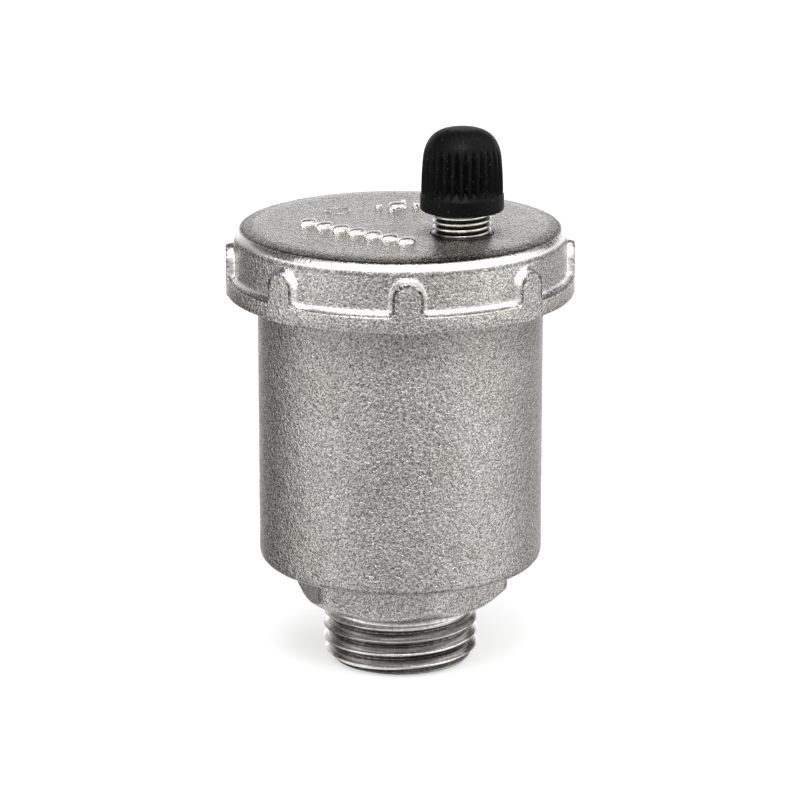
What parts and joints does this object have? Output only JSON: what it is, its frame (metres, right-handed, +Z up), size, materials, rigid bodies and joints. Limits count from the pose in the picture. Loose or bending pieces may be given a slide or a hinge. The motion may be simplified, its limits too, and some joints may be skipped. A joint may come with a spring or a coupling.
{
  "type": "automatic air vent",
  "caption": "Float-operated automatic air vent: cylindrical cast chamber with bottom male thread, screw-on lid with grip pads and a capped off-centre discharge nozzle.",
  "frame": {"origin": "centre of the inlet thread's end face", "axes": "+Z up along the inlet thread and float chamber, +X toward the discharge nozzle"},
  "size_m": [0.0466, 0.0466, 0.0746],
  "materials": {
    "cast_plated_brass": "nickel-plated, shot-blasted casting",
    "turned_plated_brass": "nickel-plated, turned",
    "turned_brass": "turned",
    "black_plastic": "satin moulded",
    "black_rubber": "matt",
    "fibre_washer": "compressed fibre",
    "stainless_sheet": "stamped sheet",
    "stainless_turned": "turned",
    "stainless_wire": "drawn wire",
    "white_acetal": "moulded",
    "float_plastic": "moulded"
  },
  "bodies": {
    "housing": {"body": "cast_plated_brass"},
    "lid_seal": {"lid_o_ring": "black_rubber"},
    "lid_group": {"lid": "cast_plated_brass", "vent_nozzle": "turned_plated_brass", "nozzle_seal": "fibre_washer", "lever_bracket": "stainless_sheet", "bracket_screw_1": "stainless_turned", "bracket_screw_2": "stainless_turned", "lever_pivot_pin": "stainless_turned", "pivot_clip": "stainless_sheet", "valve_spring": "stainless_wire"},
    "cap_seal_disc": {"cap_seal": "black_rubber"},
    "cap": {"vent_cap": "black_plastic"},
    "float": {"float_shell": "float_plastic", "float_cover": "float_plastic", "float_hanger": "stainless_sheet", "hanger_screw": "stainless_turned", "link_pin": "stainless_turned", "link_clip": "stainless_sheet"},
    "lever_arm": {"lever": "white_acetal"},
    "valve": {"valve_holder": "turned_brass", "valve_pad": "black_rubber"}
  },
  "joints": [
    {"name": "lid_lift", "type": "slide", "parent": "housing", "child": "lid_seal", "axis": [0, 0, 1], "range_m": [0, 0.00601]},
    {"name": "lid_turn", "type": "hinge", "parent": "lid_seal", "child": "lid_group", "pos_m": [0, 0, 0.05124], "axis": [0, 0, 1], "range_deg": [0, 1440]},
    {"name": "cap_lift", "type": "slide", "parent": "lid_group", "child": "cap_seal_disc", "axis": [0, 0, 1], "range_m": [0, 0.00794]},
    {"name": "cap_turn", "type": "hinge", "parent": "cap_seal_disc", "child": "cap", "pos_m": [0.00985, 0, 0.0637], "axis": [0, 0, 1], "range_deg": [0, 3606]},
    {"name": "float_rise", "type": "slide", "parent": "lid_group", "child": "float", "axis": [0, 0, 1], "range_m": [0, 0.00397]},
    {"name": "lever_swing", "type": "hinge", "parent": "lid_group", "child": "lever_arm", "pos_m": [0.0142, 0, 0.05251], "axis": [0, 1, 0], "range_deg": [0, 16.1]},
    {"name": "valve_lift", "type": "slide", "parent": "lid_group", "child": "valve", "axis": [0, 0, 1], "range_m": [0, 0.00122], "deforming": ["valve_spring"]}
  ],
  "couplings": [
    {"joint": "lid_lift", "follows": "lid_turn", "m_per_rad": 0.00023873},
    {"joint": "cap_turn", "follows": "cap_lift", "rad_per_m": 7915.8},
    {"joint": "lever_swing", "follows": "float_rise", "rad_per_m": 70.3},
    {"joint": "valve_lift", "follows": "float_rise", "ratio": 0.3061}
  ]
}
